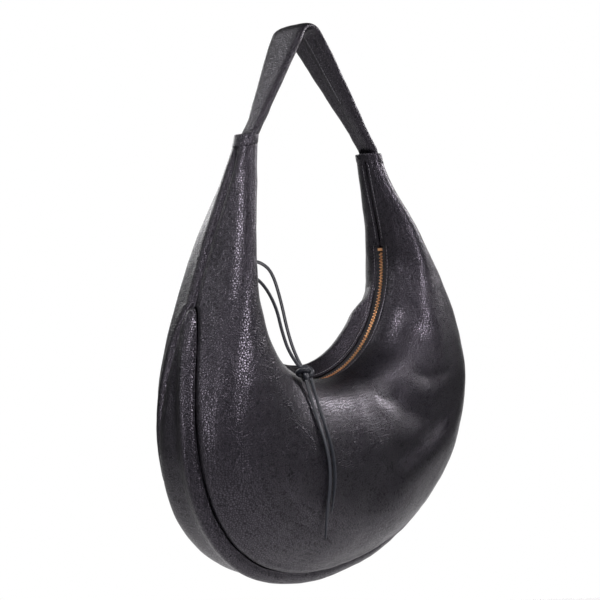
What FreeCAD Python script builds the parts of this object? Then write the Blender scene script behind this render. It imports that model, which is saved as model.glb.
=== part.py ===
import FreeCAD, Part
import Sketcher
import math
import os

Vector = FreeCAD.Vector
Rotation = FreeCAD.Rotation
Placement = FreeCAD.Placement

# A soft leather hobo bag that hangs by its strap. The origin is the underside of the strap's top;
# X runs along the bag, Y from front to back, Z up. Lengths are in millimetres, angles in degrees.

DIMENSIONS = {
    # where the bag lies under the strap's top
    "bag_x": 12.0,
    "bag_y": -4.0,
    "zip_centre_depth": 251.5,
    # the zip, an arc of a circle in a plane across Y
    "zip_radius": 123.5,
    "zip_half_angle": 99.0,
    "tape_width": 7.0,
    "tape_thickness": 0.6,
    "teeth_width": 2.6,
    "teeth_height": 2.6,
    "teeth_gap": 1.1,
    "stop_length": 3.0,
    # the arm ends
    "arm_inner_x": 94.0,
    "arm_height": 134.0,
    "arm_width": 21.0,
    "arm_half_thickness": 20.5,
    # the crescent's outline and thickness
    "half_width": 222.0,
    "half_width_skew": 13.0,
    "widest_drop": 155.0,
    "widest_skew": 4.0,
    "body_depth": 203.0,
    "half_thickness": 65.0,
    "front_share": 0.14,
    "forward_shift": 4.0,
    "back_lip": 17.0,
    "back_lip_y": 23.0,
    "front_lip": 4.5,
    "front_lip_y": 11.0,
    "slot_half_width": 6.5,
    # leather, lining and gusset
    "leather_thickness": 1.8,
    "lining_thickness": 0.6,
    "layer_gap": 0.4,
    "seam_half_gap": 0.3,
    "gusset_half_width": 41.0,
    "gusset_reach": 0.72,
    "hem_height": 9.0,
    "hem_thickness": 1.6,
    "pocket_thickness": 0.8,
    # the strap
    "strap_width": 44.0,
    "strap_end_width": 33.0,
    "strap_thickness": 9.0,
    "strap_top_radius": 18.0,
    "strap_end_length": 22.0,
    "webbing_width": 24.0,
    "webbing_thickness": 2.4,
    "fold_height": 20.0,
    "fold_gap": 1.2,
    # the slider, its ring and the lace
    "slider_length": 12.0,
    "slider_width": 9.6,
    "plate_thickness": 1.3,
    "plate_gap": 3.4,
    "post_thickness": 0.5,
    "crown_height": 3.2,
    "crown_width": 2.4,
    "slider_start_angle": 93.5,
    "ring_radius": 6.0,
    "ring_wire": 1.6,
    "ring_lean": 60.0,
    "lace_diameter": 3.4,
    "knot_width": 11.0,
}

doc = FreeCAD.newDocument("hobo_bag")
sheet = doc.addObject("Spreadsheet::Sheet", "dimensions")
for row, (alias, value) in enumerate(DIMENSIONS.items(), start=1):
    sheet.set(f"A{row}", alias)
    sheet.set(f"B{row}", str(value))
    sheet.setAlias(f"B{row}", alias)
doc.recompute()

SUB_PARTS = []


def dim(alias):
    return float(sheet.get(alias))


def keep(feature, label):
    feature.Label = label
    SUB_PARTS.append(feature)
    return feature


def solid_part(label, shape):
    """A sub-part whose shape comes from Part's own functions."""
    feature = doc.addObject("Part::Feature", label)
    feature.Shape = shape
    feature.Placement = Placement(BAG_ORIGIN, Rotation())
    return keep(feature, label)


# ---- the frame of the bag: X and Z from the zip's centre, Y from the strap's plane

BAG_ORIGIN = Vector(dim("bag_x"), dim("bag_y"), -dim("zip_centre_depth"))
RADIUS = dim("zip_radius")
HALF_ANGLE = math.radians(dim("zip_half_angle"))
ARM_TOP = dim("arm_height")
ARM_X = dim("arm_inner_x")
ARM_WIDTH = dim("arm_width")


# ---- the crescent: an inner curve, an outer curve and a puffed section between them

CURVE_STEPS = 60
ARM_LEAN = -0.15
OUTER_LEAN = -0.30
INNER_HANDLES = (39.0, 58.0)
OUTER_HANDLES = (147.0, 97.0, 96.0, 91.0)
THICKNESS_TAPER = 1.57
WIDEST_SHARE = 0.49
INNER_EXPONENT = 2.05
OUTER_EXPONENT = 2.42
LIP_REACH = 0.60
GUSSET_TAPER = 0.6


def bezier(start, handle_a, handle_b, end, steps):
    points = []
    for step in range(steps + 1):
        k = step / steps
        weights = ((1 - k) ** 3, 3 * (1 - k) ** 2 * k, 3 * (1 - k) * k ** 2, k ** 3)
        corners = (start, handle_a, handle_b, end)
        points.append(
            (
                sum(w * c[0] for w, c in zip(weights, corners)),
                sum(w * c[1] for w, c in zip(weights, corners)),
            )
        )
    return points


def unit(dx, dz):
    size = math.hypot(dx, dz)
    return dx / size, dz / size


def inner_curve():
    """From the zip's lowest point along the arc, then up the arm's inner edge."""
    points = []
    for step in range(CURVE_STEPS + 1):
        angle = HALF_ANGLE * step / CURVE_STEPS
        points.append((RADIUS * math.sin(angle), -RADIUS * math.cos(angle)))
    end = points[-1]
    along = (math.cos(HALF_ANGLE), math.sin(HALF_ANGLE))
    lean = unit(ARM_LEAN, 1.0)
    top = (ARM_X, ARM_TOP)
    first, second = INNER_HANDLES
    handle_a = (end[0] + along[0] * first, end[1] + along[1] * first)
    handle_b = (top[0] - lean[0] * second, top[1] - lean[1] * second)
    return points + bezier(end, handle_a, handle_b, top, CURVE_STEPS)[1:]


def outer_curve(side):
    """From the lowest point of the bag round its widest point to the arm's outer corner."""
    half_width = dim("half_width") + side * dim("half_width_skew")
    widest = (half_width, -dim("widest_drop") + side * dim("widest_skew"))
    bottom = (0.0, -RADIUS - dim("body_depth"))
    top = (ARM_X + ARM_WIDTH, ARM_TOP)
    lean = unit(OUTER_LEAN, 1.0)
    a, b, c, d = OUTER_HANDLES
    lower = bezier(bottom, (a, bottom[1]), (widest[0], widest[1] - b), widest, CURVE_STEPS)
    handle_b = (top[0] - lean[0] * d, top[1] - lean[1] * d)
    upper = bezier(widest, (widest[0], widest[1] + c), handle_b, top, CURVE_STEPS)
    return lower + upper[1:]


def lengths_along(points):
    total = [0.0]
    for (x0, z0), (x1, z1) in zip(points, points[1:]):
        total.append(total[-1] + math.hypot(x1 - x0, z1 - z0))
    return total


def at_fraction(points, fraction):
    total = lengths_along(points)
    target = fraction * total[-1]
    for index in range(1, len(points)):
        if total[index] >= target or index == len(points) - 1:
            share = (target - total[index - 1]) / (total[index] - total[index - 1])
            (x0, z0), (x1, z1) = points[index - 1], points[index]
            return x0 + (x1 - x0) * share, z0 + (z1 - z0) * share


INNER = inner_curve()
OUTER = {side: outer_curve(side) for side in (-1, 1)}
ZIP_END = RADIUS * HALF_ANGLE / lengths_along(INNER)[-1]
SLOT_END = ZIP_END + 0.004
SLOT_TAPER = 0.02


def fade(value, start, end):
    """1 before start, 0 after end, smooth between."""
    k = min(max((value - start) / (end - start), 0.0), 1.0)
    return 1.0 - k * k * (3 - 2 * k)


class Section:
    """The bag's cross-section at v: -1 is the left arm's end, 0 the middle, 1 the right arm's end."""

    def __init__(self, v):
        self.f = abs(v)
        self.sign = 1.0 if v >= 0 else -1.0
        inner = at_fraction(INNER, self.f)
        outer = at_fraction(OUTER[int(self.sign)], self.f)
        self.length = math.hypot(outer[0] - inner[0], outer[1] - inner[1])
        self.origin = inner
        self.along = unit(outer[0] - inner[0], outer[1] - inner[1])
        thin, thick = dim("arm_half_thickness"), dim("half_thickness")
        swell = max(math.cos(self.f ** THICKNESS_TAPER * math.pi / 2), 0.0) ** 1.5
        self.half = thin + (thick - thin) * swell
        self.shift = -dim("forward_shift") * (1 - self.f ** 3)
        self.lip = math.cos(min(self.f / LIP_REACH, 1.0) * math.pi / 2) ** 2
        self.slot = fade(self.f, SLOT_END, SLOT_END + SLOT_TAPER)
        reach = dim("gusset_reach")
        share = max(1 - (self.f / reach) ** 2, 0.0)
        self.gusset = dim("gusset_half_width") * share ** GUSSET_TAPER

    def place(self, s, y):
        x = self.origin[0] + self.along[0] * s
        z = self.origin[1] + self.along[1] * s
        return Vector(self.sign * x, y, z)

    def half_on(self, face):
        return self.half * (1 - face * dim("front_share") * (1 - self.f ** 3))

    def edge_angle(self, face):
        """The outer quarter's angle where the panel ends: at the gusset, or at the edge seam."""
        half = self.half_on(face)
        width = max(min(self.gusset, 0.9 * half), 0.0) + dim("seam_half_gap")
        return math.acos((width / half) ** (OUTER_EXPONENT / 2))

    def profile(self, face, steps=7):
        """(s, y) points of one face from the zip slot to the panel's outer seam."""
        half = self.half_on(face)
        lip_name = "front_lip" if face < 0 else "back_lip"
        lip_s = dim(lip_name) * self.lip
        lip_y = dim(lip_name + "_y") * self.lip
        seam = dim("seam_half_gap")
        start_y = seam + (dim("slot_half_width") - seam) * self.slot
        rise = (dim("leather_thickness") + 0.8) * self.slot
        lip_y = max(lip_y, start_y + 2.5 - face * self.shift)
        widest = WIDEST_SHARE * self.length
        points = [(-rise, face * start_y)]
        power = 2 / INNER_EXPONENT
        for step in range(1, steps + 1):
            a = math.pi / 2 * step / steps
            s = -max(lip_s, rise) + (widest + max(lip_s, rise)) * (1 - math.cos(a) ** power)
            y = lip_y + (half - lip_y) * math.sin(a) ** power
            points.append((s, face * y + self.shift))
        last = self.edge_angle(face)
        power = 2 / OUTER_EXPONENT
        for step in range(1, steps + 1):
            a = last * step / steps
            s = widest + (self.length - widest) * math.sin(a) ** power
            points.append((s, face * half * math.cos(a) ** power + self.shift))
        return points

    def gusset_profile(self, steps=4):
        """(s, y) points round the outer edge from the front seam to the back seam."""
        points = []
        widest = WIDEST_SHARE * self.length
        power = 2 / OUTER_EXPONENT
        for face in (-1, 1):
            half = self.half_on(face)
            width = min(self.gusset, 0.9 * half) - dim("seam_half_gap")
            first = math.acos((width / half) ** (OUTER_EXPONENT / 2))
            side = []
            for step in range(steps + 1):
                a = first + (math.pi / 2 - first) * step / steps
                s = widest + (self.length - widest) * math.sin(a) ** power
                y = half * max(math.cos(a), 0.0) ** power
                side.append((s, self.shift + face * y))
            points += side if face < 0 else side[::-1][1:]
        return points


def inward(profile, distance):
    """The same profile moved to its inner side by a distance."""
    moved = []
    for index, (s, y) in enumerate(profile):
        before = profile[max(index - 1, 0)]
        after = profile[min(index + 1, len(profile) - 1)]
        ds, dy = unit(after[0] - before[0], after[1] - before[1])
        turn = 1.0 if profile[len(profile) // 2][1] > y_middle(profile) else -1.0
        moved.append((s + turn * dy * distance, y - turn * ds * distance))
    return moved


def y_middle(profile):
    return (profile[0][1] + profile[-1][1]) / 2


def knots(profile):
    return lengths_along(profile)


def spline_edge(points, parameters):
    curve = Part.BSplineCurve()
    curve.interpolate(Points=points, Parameters=parameters)
    return curve.toShape()


def closed_strip(outside, inside, parameters):
    """A thin closed wire between two matching rows of points."""
    last = parameters[-1]
    backwards = [last - value for value in parameters[::-1]]
    edges = [
        spline_edge(outside, parameters),
        Part.makeLine(outside[-1], inside[-1]),
        spline_edge(inside[::-1], backwards),
        Part.makeLine(inside[0], outside[0]),
    ]
    return Part.Wire(edges)


def shell_wire(section, profile, near, far, parameters):
    """The profile moved in by near, and back along it moved in by far."""
    outside = [section.place(s, y) for s, y in inward(profile, near)]
    inside = [section.place(s, y) for s, y in inward(profile, far)]
    return closed_strip(outside, inside, parameters)


def loft(wires):
    shape = Part.makeLoft(wires, True, True)
    if shape.Volume < 0:
        shape.reverse()
    return shape


def evenly(start, end, count):
    return [start + (end - start) * k / (count - 1) for k in range(count)]


LEATHER = dim("leather_thickness")
LINING_NEAR = LEATHER + dim("layer_gap")
LINING_FAR = LINING_NEAR + dim("lining_thickness")
PANEL_END = 0.985
LINING_END = 0.80
# every layer is built on these stations, so that the layers follow each other between them
SLOT_ENDS = [side * (SLOT_END + SLOT_TAPER * k / 2) for side in (-1, 1) for k in (0, 1, 2)]
STATIONS = sorted(evenly(-PANEL_END, PANEL_END, 45) + SLOT_ENDS)


def stations_within(reach):
    return [v for v in STATIONS if abs(v) <= reach]


def panel(label, face, near, far, end, skip=0):
    """One face's layer; skip leaves out points beside the zip slot."""
    parameters = knots(Section(0.0).profile(face)[skip:])
    wires = []
    for v in stations_within(end):
        section = Section(v)
        wires.append(shell_wire(section, section.profile(face)[skip:], near, far, parameters))
    return solid_part(label, loft(wires))


def gusset(label, near, far, reach, tip=True):
    inner_stations = stations_within(reach)
    stations = [-reach] + inner_stations + [reach] if tip else inner_stations
    return solid_part(label, loft([gusset_wire(Section(v), near, far) for v in stations]))


def gusset_wire(section, near, far):
    profile = section.gusset_profile()
    centre = WIDEST_SHARE * section.length
    rings = []
    for distance in (near, far):
        ring = []
        for s, y in profile:
            bulge = (section.length - centre) / section.half
            ds, dy = unit(s - centre, (y - section.shift) * bulge)
            ring.append(section.place(s - ds * distance, y - dy * distance))
        rings.append(ring)
    parameters = knots(Section(0.0).gusset_profile())
    return closed_strip(rings[0], rings[1], parameters)


panel("front_panel", -1, 0.0, LEATHER, PANEL_END)
panel("back_panel", 1, 0.0, LEATHER, PANEL_END)
gusset("bottom_gusset", 0.0, LEATHER, 0.99 * dim("gusset_reach"))
panel("lining_front", -1, LINING_NEAR, LINING_FAR, LINING_END, skip=1)
panel("lining_back", 1, LINING_NEAR, LINING_FAR, LINING_END, skip=1)
gusset("lining_gusset", LINING_NEAR, LINING_FAR, 0.9 * dim("gusset_reach"), tip=False)


# ---- slip pocket, sewn to the inside of the back lining

POCKET_NEAR = LINING_FAR + dim("layer_gap")
POCKET_FAR = POCKET_NEAR + dim("pocket_thickness")
POCKET_REACH = 0.26
POCKET_POINTS = (4, 11)


def slip_pocket():
    upper, lower = POCKET_POINTS
    parameters = knots(Section(0.0).profile(1)[upper:lower])
    wires = []
    for v in stations_within(POCKET_REACH):
        section = Section(v)
        profile = section.profile(1)[upper:lower]
        wires.append(shell_wire(section, profile, POCKET_NEAR, POCKET_FAR, parameters))
    return solid_part("slip_pocket", loft(wires))


slip_pocket()


# ---- arm ends: a turned hem round each open end

def arm_loop(v, out):
    """The closed loop round both faces at v, moved outwards by out."""
    section = Section(v)
    front = inward(section.profile(-1), -out)
    back = inward(section.profile(1), -out)[::-1]
    points = [section.place(s, y) for s, y in front[1:] + back[:-1]]
    curve = Part.BSplineCurve()
    curve.interpolate(Points=points, PeriodicFlag=True)
    return Part.Wire([curve.toShape()])


def arm_hem(label, side):
    """A rim that the strap comes out of, folded over the leather's cut edge."""
    clear = dim("layer_gap")
    height = 1.5 * dim("hem_height") / lengths_along(INNER)[-1]
    levels = (1.0 - height, 1.0 - height / 2, 1.0)
    outside = loft([arm_loop(side * v, clear + dim("hem_thickness")) for v in levels])
    inside = loft([arm_loop(side * v, clear) for v in levels])
    return solid_part(label, outside.cut(inside))


arm_hem("arm_hem_left", -1)
arm_hem("arm_hem_right", 1)


# ---- the zip: two tapes, two rows of teeth, and its stops

def origin_plane(body, role):
    for feature in body.Origin.OriginFeatures:
        if feature.Role == role:
            return feature


def new_body(label):
    return keep(doc.addObject("PartDesign::Body", label), label)


def new_sketch(body, name, role):
    sketch = body.newObject("Sketcher::SketchObject", name)
    sketch.AttachmentSupport = (origin_plane(body, role), [""])
    sketch.MapMode = "FlatFace"
    return sketch


def bound_rectangle(sketch, west, south, east, north):
    """A rectangle whose sides are held at distances from the origin, each an expression."""
    values = [float(sketch.evalExpression(text)) for text in (west, south, east, north)]
    x0, y0, x1, y1 = values
    corners = [Vector(x0, y0, 0), Vector(x1, y0, 0), Vector(x1, y1, 0), Vector(x0, y1, 0)]
    first = sketch.GeometryCount
    for start, end in zip(corners, corners[1:] + corners[:1]):
        sketch.addGeometry(Part.LineSegment(start, end), False)
    from_origin = (-1, 1)
    for k in range(4):
        after = first + (k + 1) % 4
        sketch.addConstraint(Sketcher.Constraint("Coincident", first + k, 2, after, 1))
    for k in (0, 2):
        sketch.addConstraint(Sketcher.Constraint("Horizontal", first + k))
        sketch.addConstraint(Sketcher.Constraint("Vertical", first + k + 1))
    held = (("DistanceX", first, west, x0), ("DistanceY", first, south, y0))
    held += (("DistanceX", first + 2, east, x1), ("DistanceY", first + 2, north, y1))
    for kind, line, text, value in held:
        number = sketch.addConstraint(Sketcher.Constraint(kind, *from_origin, line, 1, value))
        sketch.setExpression(f"Constraints[{number}]", text)


def swept_band(label, west, south, east, north, angle_text, start_angle):
    """A rectangle turned about the zip's axis, from start_angle (0 is the lowest point)."""
    body = new_body(label)
    sketch = new_sketch(body, label + "_section", "XY_Plane")
    bound_rectangle(sketch, west, south, east, north)
    turn = body.newObject("PartDesign::Revolution", label + "_turn")
    turn.Profile = sketch
    turn.ReferenceAxis = (sketch, ["V_Axis"])
    turn.setExpression("Angle", angle_text)
    body.Tip = turn
    sketch.Visibility = False
    body.Placement = Placement(BAG_ORIGIN, Rotation(Vector(0, 1, 0), 90 - start_angle))
    return body


SHEET = "dimensions."
TAPE_IN = f"{SHEET}zip_radius - {SHEET}tape_thickness / 2"
TAPE_OUT = f"{SHEET}zip_radius + {SHEET}tape_thickness / 2"
TEETH_IN = f"{SHEET}zip_radius - {SHEET}teeth_height / 2"
TEETH_OUT = f"{SHEET}zip_radius + {SHEET}teeth_height / 2"
TEETH_NEAR = f"{SHEET}teeth_gap / 2"
TEETH_FAR = f"{SHEET}teeth_gap / 2 + {SHEET}teeth_width"
TAPE_FAR = f"{SHEET}teeth_gap / 2 + {SHEET}teeth_width + {SHEET}tape_width"
FULL_TURN = f"2 * {SHEET}zip_half_angle"
TEETH_TURN = f"2 * {SHEET}zip_half_angle - 5"
STOP_DEGREES = math.degrees(dim("stop_length") / RADIUS)
STOP_TURN = f"{SHEET}stop_length / {SHEET}zip_radius * 180 / pi"
HALF_DEGREES = dim("zip_half_angle")


def minus(text):
    return f"-({text})"


def both_faces(name, near, far):
    """The same band on the front and on the back of the zip's middle."""
    return ((name + "_front", minus(far), minus(near)), (name + "_back", near, far))


for label, south, north in both_faces("zip_tape", TEETH_FAR, TAPE_FAR):
    swept_band(label, TAPE_IN, south, TAPE_OUT, north, FULL_TURN, HALF_DEGREES)
for label, south, north in both_faces("zip_teeth", TEETH_NEAR, TEETH_FAR):
    swept_band(label, TEETH_IN, south, TEETH_OUT, north, TEETH_TURN, HALF_DEGREES - 2.5)
STOP_CLEAR = 0.3
STOP_STARTS = (
    ("zip_top_stop", STOP_DEGREES + STOP_CLEAR - HALF_DEGREES),
    ("zip_bottom_stop", HALF_DEGREES - STOP_CLEAR),
)
for label, start in STOP_STARTS:
    swept_band(label, TEETH_IN, minus(TEETH_FAR), TEETH_OUT, TEETH_FAR, STOP_TURN, start)


# ---- the slider: two plates, the thin post between them and the crown that holds the ring

START_ANGLE = math.radians(dim("slider_start_angle"))


def on_arc(angle, rise):
    """A point rise millimetres above the zip's face at an angle from its lowest point."""
    reach = RADIUS - rise
    return BAG_ORIGIN + Vector(reach * math.sin(angle), 0, -reach * math.cos(angle))


def zip_slider():
    body = new_body("zip_slider")
    length = f"{SHEET}slider_length"
    width = f"{SHEET}slider_width"
    gap = f"{SHEET}plate_gap / 2"
    top = f"{SHEET}plate_gap / 2 + {SHEET}plate_thickness"
    crown = f"{SHEET}crown_width"
    crown_top = f"{top} + {SHEET}crown_height"
    half, quarter, foot = (f"{length} / {share}" for share in (2, 4, 2.6))
    pads = (
        ("upper_plate", minus(half), gap, half, top, width),
        ("lower_plate", minus(half), minus(top), half, minus(gap), width),
        ("post", minus(quarter), minus(gap), quarter, gap, f"{SHEET}post_thickness"),
        ("crown_foot_a", minus(foot), top, minus(quarter), crown_top, crown),
        ("crown_foot_b", quarter, top, foot, crown_top, crown),
        ("crown_bar", minus(foot), f"{crown_top} - 1", foot, crown_top, crown),
    )
    for name, west, south, east, north, depth in pads:
        sketch = new_sketch(body, name + "_outline", "XZ_Plane")
        bound_rectangle(sketch, west, south, east, north)
        pad = body.newObject("PartDesign::Pad", name)
        pad.Profile = sketch
        pad.setExpression("Length", depth)
        pad.Midplane = True
        body.Tip = pad
        doc.recompute()
    turn = Rotation(Vector(0, 1, 0), dim("slider_start_angle"))
    body.Placement = Placement(on_arc(-START_ANGLE, 0), turn)
    return body


zip_slider()
PIVOT_RISE = dim("plate_gap") / 2 + dim("plate_thickness") + dim("crown_height") / 2 - 0.5
PIVOT = on_arc(-START_ANGLE, PIVOT_RISE)


def zip_ring():
    ring = doc.addObject("Part::Torus", "zip_ring")
    ring.setExpression("Radius1", f"{SHEET}ring_radius - {SHEET}ring_wire / 2")
    ring.setExpression("Radius2", f"{SHEET}ring_wire / 2")
    lean = math.radians(dim("ring_lean"))
    outwards = Vector(math.sin(lean), 0, -math.cos(lean))
    centre = PIVOT + outwards * (dim("ring_radius") - dim("ring_wire") / 2)
    ring.Placement = Placement(centre, Rotation(Vector(0, 1, 0), 90 - dim("ring_lean")))
    return keep(ring, "zip_ring")


zip_ring()


# ---- the lace: a doubled length through the ring, a knot and two tails

# the share of a run that each arc at its end takes up
ARC_TRIM = 0.45


def lace_path(points):
    """Straight runs joined by tangent arcs, each as large as its two runs allow."""
    edges = []
    start = points[0]
    for before, corner, after in zip(points, points[1:], points[2:]):
        into = corner - before
        out = after - corner
        turn = into.getAngle(out)
        trim = ARC_TRIM * min(into.Length, out.Length)
        radius = trim / math.tan(turn / 2)
        into.normalize()
        out.normalize()
        arc_start = corner - into * trim
        arc_end = corner + out * trim
        bisector = out - into
        bisector.normalize()
        middle = corner + bisector * (radius / math.cos(turn / 2) - radius)
        edges.append(Part.makeLine(start, arc_start))
        edges.append(Part.Arc(arc_start, middle, arc_end).toShape())
        start = arc_end
    edges.append(Part.makeLine(start, points[-1]))
    return Part.Wire(edges)


def lace_tube(label, route):
    points = [Vector(*p) for p in route]
    path = lace_path(points)
    first = points[1] - points[0]
    circle = Part.Wire([Part.makeCircle(dim("lace_diameter") / 2, points[0], first)])
    feature = doc.addObject("Part::Feature", label)
    feature.Shape = path.makePipeShell([circle], True, False)
    feature.Placement = Placement()
    print(label, "length", round(path.Length, 1))
    return keep(feature, label)


# The lace's route: from the knot up the back strand, over the ring and down the front strand
LOOP_ROUTE = [
    (-63.5, -48.0, -348.0),
    (-69.0, -39.0, -334.0),
    (-69.0, -29.0, -311.0),
    (-68.5, -22.0, -287.0),
    (-75.5, -13.5, -264.5),
    (-88.0, -8.0, -253.0),
    (-104.6, -4.0, -253.0),
    (-98.3, -4.0, -241.7),
    (-88.0, -7.5, -238.5),
    (-78.0, -13.0, -241.4),
    (-68.0, -17.5, -251.5),
    (-63.6, -24.0, -280.6),
    (-64.0, -32.0, -311.0),
    (-63.0, -41.0, -335.5),
    (-60.5, -48.0, -348.5),
]
KNOT_CENTRE = (-61.5, -51.0, -352.5)
TAIL_ROUTES = {
    "lace_tail_long": [
        (-65.0, -56.0, -357.5),
        (-67.8, -64.0, -375.0),
        (-69.4, -75.0, -398.5),
        (-66.7, -81.5, -419.0),
        (-64.6, -84.6, -442.0),
        (-67.0, -85.5, -465.0),
        (-71.5, -84.3, -489.0),
        (-69.0, -79.5, -515.0),
    ],
    "lace_tail_short": [
        (-58.2, -56.5, -357.5),
        (-58.5, -63.5, -377.0),
        (-61.0, -75.0, -400.0),
        (-58.6, -81.2, -421.0),
        (-57.0, -84.6, -444.0),
        (-59.5, -85.5, -466.0),
        (-64.0, -84.0, -490.0),
    ],
}

lace_tube("lace_loop", LOOP_ROUTE)
for label, route in TAIL_ROUTES.items():
    lace_tube(label, route)


def lace_knot():
    """An overhand knot as a short stack of three fat turns."""
    turn = dim("knot_width") / 4
    knot = None
    for level in (-1, 0, 1):
        centre = Vector(0, 0, level * turn * 0.9)
        axis = Vector(0.15 * level, 0.1, 1)
        ring = Part.makeTorus(turn * 0.95, turn, centre, axis)
        knot = ring if knot is None else knot.fuse(ring)
    knot = knot.fuse(Part.makeCylinder(turn * 0.8, turn * 2.6, Vector(0, 0, -turn * 1.3)))
    feature = doc.addObject("Part::Feature", "lace_knot")
    feature.Shape = knot
    feature.Placement = Placement(Vector(*KNOT_CENTRE), Rotation(Vector(0, 1, 0), 20))
    return keep(feature, "lace_knot")


lace_knot()


# ---- the strap: folded leather over webbing; its two ends are sewn inside the arms

TOP_RADIUS = dim("strap_top_radius")
THICK = dim("strap_thickness")
FOLD_Z = BAG_ORIGIN.z + ARM_TOP + dim("fold_height")
CIRCLE_Z = THICK / 2 - TOP_RADIUS
LEG_SHARES = (0.0, 0.12, 0.25, 0.4, 0.6, 0.8)
LEG_FOOT = {side: BAG_ORIGIN.x + side * (ARM_X + ARM_WIDTH / 2) for side in (-1, 1)}


def strap_stations():
    """Centre, tangent and share of the way up (0 at the fold, 1 at the top) along the strap."""
    legs = {}
    for side in (-1, 1):
        foot_x = LEG_FOOT[side]
        reach = math.hypot(foot_x, FOLD_Z - CIRCLE_Z)
        base = math.atan2(FOLD_Z - CIRCLE_Z, foot_x)
        touch = base + side * math.acos(TOP_RADIUS / reach)
        tip = (TOP_RADIUS * math.cos(touch), CIRCLE_Z + TOP_RADIUS * math.sin(touch))
        legs[side] = (foot_x, tip, touch)
    stations = []
    foot_x, tip, touch_left = legs[-1]
    for k in LEG_SHARES:
        x = foot_x + (tip[0] - foot_x) * k
        z = FOLD_Z + (tip[1] - FOLD_Z) * k
        stations.append((x, z, unit(tip[0] - foot_x, tip[1] - FOLD_Z), k))
    touch_left = touch_left % (2 * math.pi)
    touch_right = legs[1][2]
    for k in range(9):
        a = touch_left + (touch_right - touch_left) * k / 8
        x = TOP_RADIUS * math.cos(a)
        z = CIRCLE_Z + TOP_RADIUS * math.sin(a)
        stations.append((x, z, (math.sin(a), -math.cos(a)), 1.0))
    foot_x, tip, _ = legs[1]
    for k in LEG_SHARES[::-1]:
        x = foot_x + (tip[0] - foot_x) * k
        z = FOLD_Z + (tip[1] - FOLD_Z) * k
        stations.append((x, z, unit(foot_x - tip[0], FOLD_Z - tip[1]), k))
    return stations


def stadium(centre, across, width, thickness):
    """A rounded strip section: width along Y, thickness along the strap's own normal."""
    flat = width - thickness
    wide = Vector(0, flat / 2, 0)
    half = across * (thickness / 2)
    side = Vector(0, thickness / 2, 0)
    edges = [
        Part.makeLine(centre - wide + half, centre + wide + half),
        Part.Arc(centre + wide + half, centre + wide + side, centre + wide - half).toShape(),
        Part.makeLine(centre + wide - half, centre - wide - half),
        Part.Arc(centre - wide - half, centre - wide - side, centre - wide + half).toShape(),
    ]
    return Part.Wire(edges)


def width_at(share):
    narrow, wide = dim("strap_end_width"), dim("strap_width")
    return wide + (narrow - wide) * fade(share, 0.0, 0.5)


def strap_y(share):
    """The legs lean back from the arms to the top."""
    return dim("bag_y") * fade(share, 0.0, 1.0)


def strap_wires(thickness, width_of):
    wires = []
    for x, z, (tx, tz), share in strap_stations():
        centre = Vector(x, strap_y(share), z)
        wires.append(stadium(centre, Vector(tz, 0, -tx), width_of(share), thickness))
    return wires


def strap_part(label, shape):
    feature = doc.addObject("Part::Feature", label)
    feature.Shape = shape
    feature.Placement = Placement()
    return keep(feature, label)


WEBBING = dim("webbing_thickness")
WEBBING_WIDTH = dim("webbing_width")
CHANNEL = WEBBING + 2 * dim("layer_gap")
CHANNEL_WIDTH = WEBBING_WIDTH + 2 * dim("layer_gap")
folded = loft(strap_wires(THICK, width_at))
for side in (-1, 1):
    round_end = Part.makeCylinder(
        dim("strap_end_width") / 2,
        THICK,
        Vector(LEG_FOOT[side] - THICK / 2, dim("bag_y"), FOLD_Z),
        Vector(1, 0, 0),
    )
    folded = folded.fuse(round_end)
channel = loft(strap_wires(CHANNEL, lambda share: CHANNEL_WIDTH))
strap_part("strap", folded.cut(channel))
strap_part("strap_webbing", loft(strap_wires(WEBBING, lambda share: WEBBING_WIDTH)))

END_TOP = BAG_ORIGIN.z + ARM_TOP + dim("fold_gap")


def strap_end(label, side):
    """The stretch sewn inside the arm; its top is hollowed round the fold line."""
    depth = dim("strap_end_length")
    foot = Vector(LEG_FOOT[side], dim("bag_y"), END_TOP - depth)
    width = dim("strap_end_width")
    low = stadium(foot, Vector(1, 0, 0), width - 4, 0.6 * THICK)
    high = stadium(foot + Vector(0, 0, depth), Vector(1, 0, 0), width, THICK)
    return strap_part(label, loft([low, high]))


strap_end("strap_end_left", -1)
strap_end("strap_end_right", 1)


# ---- check every object, then write one STEP file per sub-part

doc.recompute()
for feature in doc.Objects:
    if "Invalid" in feature.State or "Error" in feature.State:
        raise RuntimeError(f"{feature.Label} failed: {feature.State}")
os.makedirs("parts", exist_ok=True)
for feature in SUB_PARTS:
    if feature.Shape.isNull() or not feature.Shape.isValid():
        raise RuntimeError(f"{feature.Label} has a null or invalid shape")
    feature.Shape.exportStep(f"parts/{feature.Label}.step")
    print(feature.Label, round(feature.Shape.Volume), len(feature.Shape.Solids))
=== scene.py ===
import math

import bmesh
import bpy
import numpy as np
from mathutils import Matrix, Vector, noise


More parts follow.
